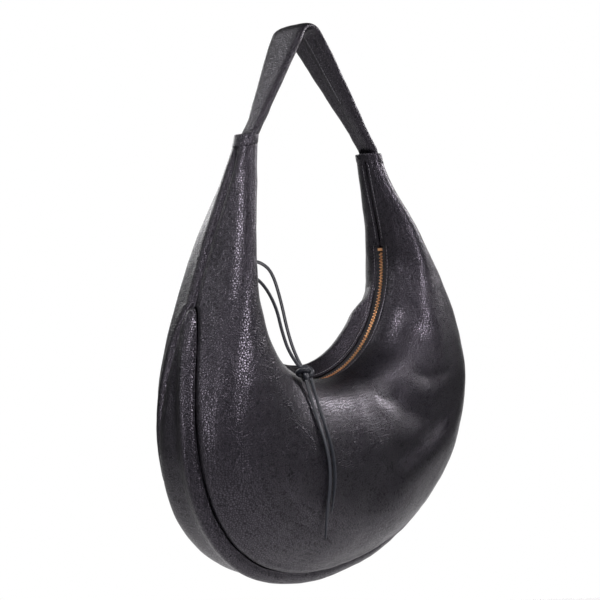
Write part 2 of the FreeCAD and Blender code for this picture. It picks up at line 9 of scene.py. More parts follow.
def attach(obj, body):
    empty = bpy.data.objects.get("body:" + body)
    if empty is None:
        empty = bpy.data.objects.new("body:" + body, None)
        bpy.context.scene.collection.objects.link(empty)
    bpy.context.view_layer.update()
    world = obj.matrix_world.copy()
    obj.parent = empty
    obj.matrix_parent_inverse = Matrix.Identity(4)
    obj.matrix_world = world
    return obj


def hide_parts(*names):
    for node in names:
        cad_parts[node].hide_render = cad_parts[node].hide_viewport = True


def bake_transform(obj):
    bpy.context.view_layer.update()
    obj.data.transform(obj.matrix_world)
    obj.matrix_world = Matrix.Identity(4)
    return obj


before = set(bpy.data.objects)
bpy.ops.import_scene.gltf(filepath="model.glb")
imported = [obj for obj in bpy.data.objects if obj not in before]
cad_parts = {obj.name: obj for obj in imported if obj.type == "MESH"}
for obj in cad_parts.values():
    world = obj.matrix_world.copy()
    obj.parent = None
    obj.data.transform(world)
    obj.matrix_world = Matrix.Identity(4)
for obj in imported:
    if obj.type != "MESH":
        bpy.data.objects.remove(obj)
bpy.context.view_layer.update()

# A black leather hobo bag that hangs by its strap. Lengths are in metres, in the CAD's frame,
# unless a line says millimetres.

MM = 0.001
# the zip is an arc of a circle: its centre, radius and half angle (0 is straight down)
BAG = np.array([0.012, -0.004, -0.2515])
RADIUS = 0.1235
HALF_ANGLE = math.radians(99.0)
# from that centre: the arms' inner edge and top, and their width in X
ARM_X, ARM_TOP, ARM_WIDTH = 0.094, 0.134, 0.021
# the crescent's depth under the zip, its half width, and how much wider its right side is
BODY_DEPTH, HALF_WIDTH, WIDTH_SKEW = 0.203, 0.222, 0.013
# how far below the centre it is widest, and how much that differs on each side
WIDEST_DROP, WIDEST_SKEW = 0.155, 0.004
# half its thickness at the arms' ends and in the middle
ARM_HALF, HALF_THICK = 0.0205, 0.065
LEATHER = 1.8 * MM
# the height at which the strap's upright legs end and it turns over towards its top
FOLD_Z = -0.0975


# ---- materials

def material(name):
    mat = bpy.data.materials.new(name)
    mat.use_nodes = True
    tree = mat.node_tree
    return mat, tree, tree.nodes["Principled BSDF"]


def link(tree, source, out, target, into):
    tree.links.new(source.outputs[out], target.inputs[into])


def node(tree, kind, **values):
    made = tree.nodes.new(kind)
    for name, value in values.items():
        made.inputs[name.replace("_", " ")].default_value = value
    return made


def texture(tree, kind, **values):
    """A texture node laid out in the object's own coordinates."""
    made = node(tree, kind, **values)
    link(tree, tree.nodes.new("ShaderNodeTexCoord"), "Object", made, "Vector")
    return made


def ramp(tree, source, out, stops):
    """A colour ramp fed by one output of another node."""
    made = tree.nodes.new("ShaderNodeValToRGB")
    elements = made.color_ramp.elements
    while len(elements) < len(stops):
        elements.new(0.5)
    for element, (place, colour) in zip(elements, stops):
        element.position = place
        element.color = (*colour, 1.0)
    link(tree, source, out, made, "Fac")
    return made


def relief(tree, source, out, strength, distance):
    """A bump node fed by one output of another node."""
    made = node(tree, "ShaderNodeBump", Strength=strength, Distance=distance)
    link(tree, source, out, made, "Height")
    return made


def drive(tree, source, out, low, high, shader, into):
    """A shader socket goes from low to high as another node's output goes from 0 to 1."""
    made = node(tree, "ShaderNodeMapRange", To_Min=low, To_Max=high)
    link(tree, source, out, made, "Value")
    link(tree, made, "Result", shader, into)


def dress(tree, shader, colour, bump):
    link(tree, colour, "Color", shader, "Base Color")
    link(tree, bump, "Normal", shader, "Normal")


# a pebble's height at each distance from its edge
PEBBLE_HEIGHTS = ((0.0, 0.0), (0.06, 0.38), (0.15, 0.8), (0.34, 1.0))
# painted shade: the colour down in the creases between the pebbles, darker as if shade fell there
PAINTED_CREASE_SHADE = (0.0008, 0.0008, 0.0011, 1.0)


def pebbled_leather(name, dark, light, grain):
    """Chrome-tanned leather with a round pebble grain of about 2 mm."""
    mat, tree, shader = material(name)
    warp = texture(tree, "ShaderNodeTexNoise", Scale=210.0, Detail=2.0)
    shift = tree.nodes.new("ShaderNodeVectorMath")
    shift.operation = "MULTIPLY_ADD"
    shift.inputs[1].default_value = (0.0005, 0.0005, 0.0005)
    link(tree, warp, "Color", shift, 0)
    link(tree, tree.nodes.new("ShaderNodeTexCoord"), "Object", shift, 2)
    cells = node(tree, "ShaderNodeTexVoronoi", Scale=grain, Randomness=0.78)
    cells.feature = "DISTANCE_TO_EDGE"
    link(tree, shift, 0, cells, "Vector")
    heights = ramp(tree, cells, "Distance", [(place, (height,) * 3) for place, height in PEBBLE_HEIGHTS])
    fine = texture(tree, "ShaderNodeTexNoise", Scale=1900.0, Detail=3.0, Roughness=0.6)
    pebbles = relief(tree, heights, "Color", 1.0, 0.00020)
    pores = relief(tree, fine, "Fac", 0.15, 0.00003)
    link(tree, pebbles, "Normal", pores, "Normal")
    link(tree, pores, "Normal", shader, "Normal")
    wide = texture(tree, "ShaderNodeTexNoise", Scale=26.0, Detail=4.0, Roughness=0.55)
    colour = ramp(tree, wide, "Fac", ((0.25, dark), (0.8, light)))
    # painted shade: the base colour darkens from each pebble's crown down into the creases
    crease_shaded_colour = tree.nodes.new("ShaderNodeMix")
    crease_shaded_colour.data_type = "RGBA"
    # its sockets by number: 0 is the factor, 6 and 7 are the colours, 2 is the result
    crease_shaded_colour.inputs[6].default_value = PAINTED_CREASE_SHADE
    link(tree, heights, "Color", crease_shaded_colour, 0)
    link(tree, colour, "Color", crease_shaded_colour, 7)
    link(tree, crease_shaded_colour, 2, shader, "Base Color")
    # the creases are duller and reflect less than the crowns
    drive(tree, heights, "Color", 0.42, 0.27, shader, "Roughness")
    drive(tree, heights, "Color", 0.16, 0.68, shader, "Specular IOR Level")
    shader.inputs["Specular Tint"].default_value = (0.93, 0.86, 1.0, 1.0)
    return mat


def woven(name, dark, light, pitch, strength=0.6, rough=0.85):
    """Cloth: two crossing wave textures, one for each set of threads."""
    mat, tree, shader = material(name)
    mix = tree.nodes.new("ShaderNodeMath")
    mix.operation = "MULTIPLY"
    for socket, direction in enumerate(("X", "Z")):
        wave = texture(tree, "ShaderNodeTexWave", Scale=pitch, Distortion=0.6, Detail=1.0)
        wave.bands_direction = direction
        link(tree, wave, "Fac", mix, socket)
    blotch = texture(tree, "ShaderNodeTexNoise", Scale=90.0, Detail=3.0)
    total = tree.nodes.new("ShaderNodeMath")
    total.operation = "ADD"
    link(tree, mix, "Value", total, 0)
    link(tree, blotch, "Fac", total, 1)
    colour = ramp(tree, total, "Value", ((0.35, dark), (1.0, light)))
    dress(tree, shader, colour, relief(tree, mix, "Value", strength, 0.00025))
    shader.inputs["Roughness"].default_value = rough
    return mat


def smooth_leather(name, dark, light, scale, rough):
    mat, tree, shader = material(name)
    grain = texture(tree, "ShaderNodeTexNoise", Scale=scale, Detail=5.0, Roughness=0.65)
    colour = ramp(tree, grain, "Fac", ((0.3, dark), (0.75, light)))
    dress(tree, shader, colour, relief(tree, grain, "Fac", 0.5, 0.00012))
    shader.inputs["Roughness"].default_value = rough
    return mat


def worn_metal(name, dark, light, rough):
    mat, tree, shader = material(name)
    spots = texture(tree, "ShaderNodeTexNoise", Scale=900.0, Detail=3.0)
    colour = ramp(tree, spots, "Fac", ((0.35, dark), (0.7, light)))
    dress(tree, shader, colour, relief(tree, spots, "Fac", 0.2, 0.00005))
    drive(tree, spots, "Fac", rough, rough + 0.18, shader, "Roughness")
    shader.inputs["Metallic"].default_value = 0.85
    return mat


BLACK_DYE = ((0.0026, 0.0024, 0.0036), (0.0062, 0.0058, 0.0080))
BLACK = pebbled_leather("leather_black", *BLACK_DYE, 430.0)
STRAP_BLACK = pebbled_leather("strap_black", *BLACK_DYE, 480.0)
CLOTH = woven("lining_cloth", (0.02, 0.018, 0.017), (0.05, 0.046, 0.043), 420.0)
TAPE = woven("zip_tape_cloth", (0.005, 0.005, 0.006), (0.022, 0.022, 0.026), 500.0)
COPPER = worn_metal("zip_copper", (0.92, 0.40, 0.16), (1.0, 0.62, 0.34), 0.30)
DARK_METAL = worn_metal("slider_metal", (0.20, 0.10, 0.05), (0.55, 0.30, 0.17), 0.28)
LACE = smooth_leather("lace_slate", (0.006, 0.007, 0.010), (0.020, 0.023, 0.031), 700.0, 0.42)
THREAD = woven("thread", (0.11, 0.108, 0.12), (0.30, 0.29, 0.32), 900.0, 0.4, 0.6)


def paint(node_name, mat):
    """Give a CAD node one of these materials; its shape stays as it is."""
    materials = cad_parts[node_name].data.materials
    materials.clear()
    materials.append(mat)


# ---- meshes

def mesh_piece(name, verts, faces, mat, body, slot=None, smooth=True):
    mesh = bpy.data.meshes.new(name)
    mesh.from_pydata([tuple(map(float, v)) for v in verts], [], faces)
    mesh.validate()
    mesh.update()
    if smooth:
        mesh.polygons.foreach_set("use_smooth", [True] * len(mesh.polygons))
    obj = bpy.data.objects.new(name, mesh)
    bpy.context.scene.collection.objects.link(obj)
    mesh.materials.append(mat)
    if body:
        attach(obj, body)
    return obj


def grid_faces(rows, columns, start=0, wrap=False, flip=False):
    faces = []
    for low in range(start, start + (rows - 1) * columns, columns):
        high = low + columns
        for j in range(columns if wrap else columns - 1):
            k = (j + 1) % columns
            face = (low + j, low + k, high + k, high + j)
            faces.append(face[::-1] if flip else face)
    return faces


def tube_faces(rows, columns):
    """A closed tube of rings, capped at both ends."""
    faces = grid_faces(rows, columns, wrap=True)
    faces.append(tuple(range(columns))[::-1])
    faces.append(tuple(range((rows - 1) * columns, rows * columns)))
    return faces


def unit(vectors):
    """A vector, or a grid of vectors, at length 1."""
    vectors = np.array(vectors, float)
    return vectors / np.maximum(np.linalg.norm(vectors, axis=-1, keepdims=True), 1e-12)


def outward(points):
    """Unit normals of a grid of points."""
    return unit(np.cross(np.gradient(points, axis=0), np.gradient(points, axis=1)))


def finish_normals(obj):
    """Turn every face of a piece outwards."""
    work = bmesh.new()
    work.from_mesh(obj.data)
    bmesh.ops.recalc_face_normals(work, faces=work.faces)
    work.to_mesh(obj.data)
    work.free()
    obj.data.update()
    return obj


def shell(name, outer, inner, mat, slot):
    """Two matching grids on the bag, closed round their edge."""
    rows, columns = outer.shape[:2]
    count = rows * columns
    verts = np.concatenate([outer.reshape(-1, 3), inner.reshape(-1, 3)])
    faces = grid_faces(rows, columns) + grid_faces(rows, columns, count, flip=True)
    rim = list(range(columns))
    rim += [i * columns + columns - 1 for i in range(1, rows)]
    rim += [(rows - 1) * columns + j for j in range(columns - 2, -1, -1)]
    rim += [i * columns for i in range(rows - 2, 0, -1)]
    for a, b in zip(rim, rim[1:] + rim[:1]):
        faces.append((b, a, a + count, b + count))
    return finish_normals(mesh_piece(name, verts, faces, mat, "bag", slot))


def join(parts):
    """One list of points and one of faces from several pairs of such lists."""
    verts, faces = [], []
    for points, more in parts:
        faces += [tuple(len(verts) + i for i in face) for face in more]
        verts += points
    return verts, faces


def sweep(path, ring, closed=False):
    """Rings along a path: ring(share) gives (across, up) pairs. The frame turns as little as it can."""
    path = [Vector(p) for p in path]
    rings = []
    count = len(path)
    up = None
    for k in range(count):
        before = path[k - 1] if (k > 0 or closed) else path[k]
        after = path[(k + 1) % count] if (k < count - 1 or closed) else path[k]
        tangent = (after - before).normalized()
        if up is None:
            up = tangent.orthogonal().normalized()
        up = (up - tangent * up.dot(tangent)).normalized()
        side = tangent.cross(up)
        rings.append([path[k] + side * a + up * b for a, b in ring(k / (count - 1))])
    return rings


def rounded(value, power):
    """A cosine or sine bent towards a rounded square's outline."""
    return math.copysign(abs(value) ** power, value)


def circle(radius, count, squash=1.0):
    steps = [2 * math.pi * k / count for k in range(count)]
    return [(radius * math.cos(a), radius * squash * math.sin(a)) for a in steps]


# ---- the crescent's sections

CURVE_STEPS = 80
# how the arms' edges lean at their tops, in X and Z
INNER_LEAN, OUTER_LEAN = (-0.15, 1.0), (-0.30, 1.0)
# each curve's two handles: above the zip, below the widest place, above it
RISE_HANDLES, LOWER_HANDLES, UPPER_HANDLES = (0.039, 0.058), (0.147, 0.097), (0.096, 0.091)


def bezier(corners):
    k = np.linspace(0, 1, CURVE_STEPS + 1)[:, None]
    a, b, c, d = (np.array(p, float) for p in corners)
    return (1 - k) ** 3 * a + 3 * (1 - k) ** 2 * k * b + 3 * (1 - k) * k ** 2 * c + k ** 3 * d


def inner_curve():
    angles = np.linspace(0, HALF_ANGLE, CURVE_STEPS + 1)
    arc = np.stack([RADIUS * np.sin(angles), -RADIUS * np.cos(angles)], 1)
    along = np.array([math.cos(HALF_ANGLE), math.sin(HALF_ANGLE)])
    top = np.array([ARM_X, ARM_TOP])
    low, high = RISE_HANDLES
    rise = bezier((arc[-1], arc[-1] + along * low, top - unit(INNER_LEAN) * high, top))
    return np.concatenate([arc, rise[1:]])


def outer_curve(side):
    widest = np.array([HALF_WIDTH + side * WIDTH_SKEW, -WIDEST_DROP + side * WIDEST_SKEW])
    bottom = np.array([0.0, -RADIUS - BODY_DEPTH])
    top = np.array([ARM_X + ARM_WIDTH, ARM_TOP])
    low, high = LOWER_HANDLES
    lower = bezier((bottom, bottom + (low, 0), widest - (0, high), widest))
    low, high = UPPER_HANDLES
    upper = bezier((widest, widest + (0, low), top - unit(OUTER_LEAN) * high, top))
    return np.concatenate([lower, upper[1:]])


def lengths(points):
    steps = np.linalg.norm(np.diff(points, axis=0), axis=1)
    return np.concatenate([[0.0], np.cumsum(steps)])


def resample(points, count, crowd=0.0):
    """Points spaced evenly along a chain, or crowded towards its two ends."""
    total = lengths(points)
    share = np.linspace(0, 1, count)
    places = total[-1] * (share - crowd * np.sin(2 * math.pi * share) / (2 * math.pi))
    return np.stack([np.interp(places, total, points[:, k]) for k in range(points.shape[1])], 1)


def at_fraction(points, fraction):
    total = lengths(points)
    return np.array([np.interp(fraction * total[-1], total, points[:, k]) for k in (0, 1)])


INNER = inner_curve()
OUTER = {side: outer_curve(side) for side in (-1, 1)}
INNER_LENGTH = lengths(INNER)[-1]
ZIP_END = RADIUS * HALF_ANGLE / INNER_LENGTH


def fade(value, start, end):
    k = np.clip((value - start) / (end - start), 0.0, 1.0)
    return 1.0 - k * k * (3 - 2 * k)


# the powers of the section's rounded outline, on the zip's side and on the outer side
INNER_POWER, OUTER_POWER = 2.05, 2.42
# the section is thickest at this share of its length
WIDEST_SHARE = 0.49
# how the thickness swells towards the middle, and how much flatter the back is there
SWELL_REACH, SWELL_POWER, FLATTER = 1.57, 1.5, 0.14
# how far the whole section moves along Y in the middle
MIDDLE_SHIFT = -0.004
# the gusset's half width in the middle, the v at which it has tapered away, and its taper's power
GUSSET_HALF, GUSSET_TIP, GUSSET_POWER = 0.041, 0.72, 0.6
# the gap on each side of the seam between panel and gusset
SEAM_GAP = 0.3 * MM
# each face's raised lip beside the zip: how far it stands up, and out along Y
LIPS = {-1: (0.0045, 0.011), 1: (0.017, 0.023)}
# the zip slot's half width and how high its edge stands, both beyond the seam gap
SLOT_HALF, SLOT_RISE = 0.0062, 0.0026
# the arms are pinched in beyond this v; at the end, their half thickness and their move along Y
PINCH_START = 0.80
ARM_PINCH = {-1: (0.0115, -0.0075), 1: (0.0160, 0.0020)}
# how much higher each arm's soft end stands than in the CAD
ARM_RISE = {-1: 0.0035, 1: -0.0050}
# how strongly the points of a section crowd towards its two ends
PANEL_CROWD, GUSSET_CROWD = 0.78, 0.6


class Section:
    """The bag's cross-section at v: -1 is the left arm's end, 0 the middle, 1 the right arm's end.

    In it, s runs from the zip to the outer curve and y from front to back.
    """

    def __init__(self, v):
        self.f = abs(v)
        self.sign = 1 if v >= 0 else -1
        self.origin = at_fraction(INNER, self.f)
        outer = at_fraction(OUTER[self.sign], self.f)
        self.length = np.linalg.norm(outer - self.origin)
        self.along = (outer - self.origin) / self.length
        self.widest = WIDEST_SHARE * self.length
        swell = max(math.cos(self.f ** SWELL_REACH * math.pi / 2), 0.0) ** SWELL_POWER
        pinch = 1.0 - float(fade(self.f, PINCH_START, 1.0))
        pinched_half, pinched_shift = ARM_PINCH[self.sign]
        self.half = ARM_HALF + (HALF_THICK - ARM_HALF) * swell + (pinched_half - ARM_HALF) * pinch
        self.shift = MIDDLE_SHIFT * (1 - self.f ** 3) + pinched_shift * pinch
        self.rise = ARM_RISE[self.sign] * pinch
        self.lip = {
            -1: math.cos(min(self.f / 0.60, 1.0) * math.pi / 2) ** 2,
            1: float(fade(self.f, 0.34, 0.555)),
        }
        self.slot = float(fade(self.f, ZIP_END + 0.001, ZIP_END + 0.007))
        self.gusset = GUSSET_HALF * max(1 - (self.f / GUSSET_TIP) ** 2, 0.0) ** GUSSET_POWER

    def place(self, profile):
        """Points of the section in the scene."""
        s, y = profile[:, 0], profile[:, 1]
        x = self.sign * (self.origin[0] + self.along[0] * s)
        z = self.origin[1] + self.along[1] * s + self.rise
        return np.stack([x, y, z], 1) + BAG

    def half_on(self, face):
        """Half the thickness on one face: the back is a little flatter than the front."""
        return self.half * (1 - face * FLATTER * (1 - self.f ** 3))

    def edge_angle(self, face, gap):
        """The angle on the outer side at which the gusset's edge lies, and a gap beyond it."""
        half = self.half_on(face)
        width = max(min(self.gusset, 0.9 * half), 0.0) + gap
        return math.acos((width / half) ** (OUTER_POWER / 2))

    def outer_side(self, face, angles):
        """Points from the widest place (angle 0) to the outer curve (a quarter turn)."""
        power = 2 / OUTER_POWER
        s = self.widest + (self.length - self.widest) * np.sin(angles) ** power
        y = face * self.half_on(face) * np.maximum(np.cos(angles), 0.0) ** power + self.shift
        return np.stack([s, y], 1)

    def profile(self, face, count):
        """Points of one face, from the zip slot to the outer seam."""
        lip_s, lip_y = (size * self.lip[face] for size in LIPS[face])
        # the crown beside the slot stays wide for a while after the slot has closed
        crown = float(fade(self.f, ZIP_END - 0.01, ZIP_END + 0.16))
        lip_y = max(lip_y, 0.0028 + 0.0062 * crown - face * self.shift)
        top = max(lip_s, 0.0026 * crown)
        edge = np.array([[-SLOT_RISE * self.slot, face * (SEAM_GAP + SLOT_HALF * self.slot)]])
        lead = np.array([[-top - 0.0002 * crown, face * lip_y + self.shift]])
        power = 2 / INNER_POWER
        angles = np.linspace(0, math.pi / 2, 61)[1:]
        s = -top + (self.widest + top) * (1 - np.cos(angles) ** power)
        y = face * (lip_y + (self.half_on(face) - lip_y) * np.sin(angles) ** power) + self.shift
        outer = self.outer_side(face, np.linspace(0, self.edge_angle(face, SEAM_GAP), 61)[1:])
        return resample(np.concatenate([edge, lead, np.stack([s, y], 1), outer]), count, PANEL_CROWD)

    def gusset_profile(self, count):
        """Points of the gusset, from the front seam to the back one."""
        front, back = (
            self.outer_side(face, np.linspace(self.edge_angle(face, -SEAM_GAP), math.pi / 2, 31))
            for face in (-1, 1))
        return resample(np.concatenate([front, back[::-1][1:]]), count, GUSSET_CROWD)


# ---- folds: soft lines over the panels, in millimetres from the zip's centre

def line_distance(x, z, line):
    """Distance from points to a chain of straight runs, and the place along it (0 to 1)."""
    best = np.full(x.shape, 1e9)
    where = np.zeros(x.shape)
    total = sum(math.dist(a, b) for a, b in zip(line, line[1:]))
    passed = 0.0
    for (ax, az), (bx, bz) in zip(line, line[1:]):
        size = math.hypot(bx - ax, bz - az)
        t = np.clip(((x - ax) * (bx - ax) + (z - az) * (bz - az)) / size ** 2, 0, 1)
        gap = np.hypot(x - ax - t * (bx - ax), z - az - t * (bz - az))
        near = gap < best
        best = np.where(near, gap, best)
        where = np.where(near, (passed + t * size) / total, where)
        passed += size
    return best, where


def fold(x, z, line, depth, width, sharp):
    """A soft valley (depth under 0) or ridge along a line, dying out at its ends."""
    gap, where = line_distance(x, z, line)
    ends = np.sin(np.pi * np.clip(where, 0.03, 0.97)) ** 0.7
    return depth * np.exp(-np.abs(gap / width) ** (2 * sharp)) * ends


# each fold: its line in X and Z, depth in mm, width in mm, sharpness
FRONT_FOLDS = (
    (((40, -128), (75, -160), (112, -178), (150, -180)), -5.0, 20, 1.0),
    (((0, -262), (60, -238), (120, -215), (165, -190), (200, -140)), 3.0, 22, 1.0),
    (((10, -214), (60, -206), (110, -196), (150, -172)), -2.2, 14, 0.8),
    (((-20, -150), (10, -190), (40, -222)), 1.8, 18, 1.0),
    (((-128, -20), (-138, -70), (-118, -130), (-80, -180)), 2.2, 16, 1.0),
    (((-165, -40), (-178, -100), (-160, -170)), -1.6, 14, 0.9),
    (((120, -10), (140, -60), (150, -110)), 1.8, 14, 1.0),
    (((150, 10), (170, -40), (195, -95)), -1.8, 13, 0.9),
    (((-60, -235), (-20, -262), (40, -275), (90, -262)), 1.5, 20, 1.0),
    (((-150, -190), (-110, -240), (-60, -272)), -1.4, 12, 0.9),
    (((98, -120), (120, -132), (150, -128)), -1.8, 9, 0.8),
    (((30, -140), (52, -146), (74, -142)), -1.5, 8, 0.8),
)
BACK_FOLDS = (
    (((-60, -150), (-20, -185), (50, -200), (110, -180)), -4.0, 22, 1.0),
    (((60, -240), (120, -210), (165, -165)), 2.6, 20, 1.0),
    (((-170, -60), (-160, -120), (-110, -170)), -2.2, 14, 0.9),
    (((130, 20), (160, -40), (180, -90)), 2.0, 14, 1.0),
    (((-130, 30), (-150, -30), (-140, -90)), 1.8, 12, 1.0),
    (((-90, -262), (0, -285), (90, -262)), -1.8, 14, 0.9),
)


def soft_noise(points, scale, seed):
    """Smooth random values from -1 to 1 over a grid of points."""
    offset = Vector((seed * 7.3, seed * 3.1, seed * 5.7))
    flat = points.reshape(-1, 3)
    values = [noise.noise(Vector(p) * scale + offset) for p in flat]
    return np.array(values).reshape(points.shape[:2])


# all the folds' depths are raised together by this
FOLD_GAIN = 1.15
# uneven places all over a panel: depth in mm, waves per metre, seed
PANEL_WAVES = ((1.5, 14.0, 2), (0.55, 42.0, 5), (0.16, 120.0, 9))
# ridges (depth over 0) and grooves beside an edge: depth, distance from the edge and width, in mm
SEAM_RIDGES = ((-3.0, 0.0, 2.6), (0.9, 8.5, 4.5))
ZIP_RIDGES = ((-0.7, 0.0, 0.9), (-0.9, 3.4, 0.9))
ARM_RIDGES = ((-1.2, 0.0, 0.8), (0.35, 2.2, 1.2), (-0.5, 4.4, 0.9))
PANEL_PUCKERS = ((0.5, 6.0, 6.0),)
GUSSET_FRONT_RIDGES = ((-3.0, 0.0, 2.4), (6.0, 11.0, 8.0))
GUSSET_BACK_RIDGES = ((-3.0, 0.0, 2.4),)
GUSSET_PUCKERS = ((0.6, 0.0, 9.0),)


def ridges(distance, sizes):
    """The height in mm of some ridges that run beside an edge."""
    return sum(
        depth * np.exp(-(((distance - place * MM) / (width * MM)) ** 2))
        for depth, place, width in sizes)


def run_across(points):
    """How far each point of a grid is from the start of its row."""
    steps = np.linalg.norm(np.diff(points, axis=1), axis=2)
    return np.concatenate([np.zeros((len(points), 1)), np.cumsum(steps, axis=1)], 1)


ROWS = 330
COLUMNS = 116
PANEL_END = 0.985


def panel_stations():
    """Even values of v, with more of them where the zip's slot closes."""
    extra = [side * (ZIP_END + 0.0008 * k) for side in (-1, 1) for k in range(-1, 11)]
    even = np.linspace(-PANEL_END, PANEL_END, ROWS - len(extra))
    return np.sort(np.concatenate([even, extra]))


def panel_grid(face):
    """A panel's outer points and normals, the v of each row, and each point's distance from the slot."""
    stations = panel_stations()
    points = np.array([s.place(s.profile(face, COLUMNS)) for s in map(Section, stations)])
    normal = outward(points)
    normal *= np.sign(normal[ROWS // 2, COLUMNS // 2, 1] * face)
    from_slot = run_across(points)
    from_seam = from_slot[:, -1:] - from_slot
    x = (points[..., 0] - BAG[0]) / MM
    z = (points[..., 2] - BAG[2]) / MM
    lift = np.zeros(x.shape)
    for line, depth, width, sharp in FRONT_FOLDS if face < 0 else BACK_FOLDS:
        lift += FOLD_GAIN * fold(x, z, line, depth, width, sharp)
    for depth, scale, seed in PANEL_WAVES:
        lift += depth * soft_noise(points, scale, seed + face)
    # the seams and the arms' ends hold the leather still
    f = np.abs(stations)[:, None]
    free = np.clip(from_slot / 0.030, 0, 1) * np.clip(from_seam / 0.022, 0, 1) * fade(f, 0.86, 0.985)
    lift = lift * free * free * (3 - 2 * free)
    lift += ridges(from_seam, SEAM_RIDGES) * fade(f, 0.93, 0.985)
    # puckers where the thread pulls the seam in
    pull = ridges(from_seam, PANEL_PUCKERS) * fade(f, 0.8, 0.95)
    lift += pull * soft_noise(points * np.array([1, 0.3, 1]), 75.0, 13 + face)
    lift += ridges(from_slot, ZIP_RIDGES) * fade(f, ZIP_END, ZIP_END + 0.02)
    lift += ridges(from_slot, ARM_RIDGES) * (1 - fade(f, ZIP_END + 0.005, ZIP_END + 0.03))
    outer = points + normal * (lift * MM)[..., None]
    turned = outward(outer)
    turned *= np.sign(np.sum(turned * normal))
    return outer, turned, stations, from_slot


panels = {}
for face, name in ((-1, "front_panel"), (1, "back_panel")):
    outer, turned, stations, from_slot = panel_grid(face)
    piece = shell(name + "_leather", outer, outer - turned * LEATHER, BLACK, "leather_black")
    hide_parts(name)
    panels[face] = (outer, turned, stations, from_slot, piece)


# ---- the gusset: a soft roll that stands out between the two seams

GUSSET_REACH = 0.715
GUSSET_ROWS = 240
GUSSET_COLUMNS = 64


def gusset_grid():
    """The gusset's outer points and its normals."""
    stations = np.linspace(-GUSSET_REACH, GUSSET_REACH, GUSSET_ROWS)
    points = np.array([s.place(s.gusset_profile(GUSSET_COLUMNS)) for s in map(Section, stations)])
    normal = outward(points)
    inside = BAG - np.array([0, 0, 0.1])
    normal *= np.sign(np.sum(normal * (points - inside)))
    to_front = run_across(points)
    width = to_front[:, -1:]
    # a fat roll beside the front seam, then a fainter one at three quarters of the width
    lift = ridges(to_front, GUSSET_FRONT_RIDGES) + ridges(width - to_front, GUSSET_BACK_RIDGES)
    lift += 1.2 * np.exp(-(((to_front / np.maximum(width, 1e-6) - 0.75) / 0.16) ** 2))
    lift += 0.9 * soft_noise(points, 22.0, 21) + 0.3 * soft_noise(points, 60.0, 22)
    puckers = soft_noise(points * np.array([1, 0.35, 1]), 95.0, 23)
    lift += puckers * ridges(to_front, GUSSET_PUCKERS)
    # it all fades at the gusset's narrow tips
    lift *= np.clip(width / 0.03, 0, 1)
    return points + normal * (lift * MM)[..., None], normal


gusset_outer, gusset_normal = gusset_grid()
gusset = shell(
    "gusset_leather", gusset_outer, gusset_outer - gusset_normal * LEATHER, BLACK, "leather_black")
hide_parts("bottom_gusset")


# ---- linings and the slip pocket follow the leather on its inside

# the gap from the leather's outside, and the cloth's thickness
LINING, POCKET = (LEATHER + 0.5 * MM, 0.6 * MM), (LEATHER + 1.6 * MM, 0.8 * MM)


def span(count, low, high):
    """Where some rows or columns begin and end, from shares of their count."""
    return int(count * low), int(count * high)


def inner_layer(node_name, outer, turned, rows, columns, cloth):
    """Cloth inside a leather grid: it keeps every other point between two rows and two columns."""
    part = slice(*rows, 2), slice(*columns, 2)
    near, thickness = cloth
    grid = outer[part] - turned[part] * near
    piece = shell(node_name + "_cloth", grid, grid - turned[part] * thickness, CLOTH, "lining_cloth")
    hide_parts(node_name)
    return piece


for face, name in ((-1, "lining_front"), (1, "lining_back")):
    inner_layer(
        name, *panels[face][:2], span(ROWS, 0.1, 0.9), (5, COLUMNS - 3), LINING)
gusset_lining = inner_layer(
    "lining_gusset", gusset_outer, gusset_normal, span(GUSSET_ROWS, 0.08, 0.92),
    (3, GUSSET_COLUMNS - 3), LINING)
pocket = inner_layer(
    "slip_pocket", *panels[1][:2], span(ROWS, 0.37, 0.63), span(COLUMNS, 0.22, 0.62), POCKET)


# ---- arm hems: a rolled rim round each arm end

HEM_POINTS = 96
# the rim's own outline: v on the arm, and how far out it stands there, in mm
HEM_LEVELS = (
    (0.978, 0.05), (0.9785, 0.35), (0.981, 0.55), (0.986, 0.65), (0.993, 0.75),
    (0.998, 0.85), (1.0003, 0.6), (1.0012, 0.0), (1.0006, -0.8), (0.998, -1.6),
    (0.990, -2.0), (0.98, -2.1), (0.97, -2.0), (0.965, -1.2),
)


def arm_loop(v, out):
    """A closed ring round the arm at v, moved outwards."""
    section = Section(v)
    front = section.profile(-1, 72)[1:]
    back = section.profile(1, 72)[::-1][:-1]
    loop = np.concatenate([front, back])
    ahead = np.roll(loop, -1, 0) - np.roll(loop, 1, 0)
    side = unit(np.stack([ahead[:, 1], -ahead[:, 0]], 1))
    side *= np.sign(np.sum(side * (loop - loop.mean(0))))
    ring = loop + side * out
    return section.place(resample(np.concatenate([ring, ring[:1]]), HEM_POINTS + 1)[:-1])


for side_name, side in (("left", -1), ("right", 1)):
    rings = np.array([arm_loop(side * v, out * MM) for v, out in HEM_LEVELS])
    faces = grid_faces(len(HEM_LEVELS), HEM_POINTS, wrap=True)
    last = (len(HEM_LEVELS) - 1) * HEM_POINTS
    for j in range(HEM_POINTS):
        k = (j + 1) % HEM_POINTS
        faces.append((j, last + j, last + k, k))
    hem = finish_normals(mesh_piece(
        f"arm_hem_{side_name}_leather", rings.reshape(-1, 3), faces, BLACK, "bag", "leather_black"))
    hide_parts(f"arm_hem_{side_name}")


# ---- the zip

def on_arc(angle, rise, y):
    """A point beside the zip's arc: rise is towards its centre."""
    reach = RADIUS - rise
    return np.array([BAG[0] + reach * math.sin(angle), BAG[1] + y, BAG[2] - reach * math.cos(angle)])


PITCH = 3.8 * MM / RADIUS
TOOTH_HALF = 0.48 * MM / RADIUS
TOOTH_SPAN = math.radians(96.3)
# a tooth across the tape: y from the middle (over 0 is its own side) and half height, in mm
TOOTH_LEVELS = ((-0.9, 0.8), (0.8, 0.8), (1.9, 1.25), (2.5, 0.9))


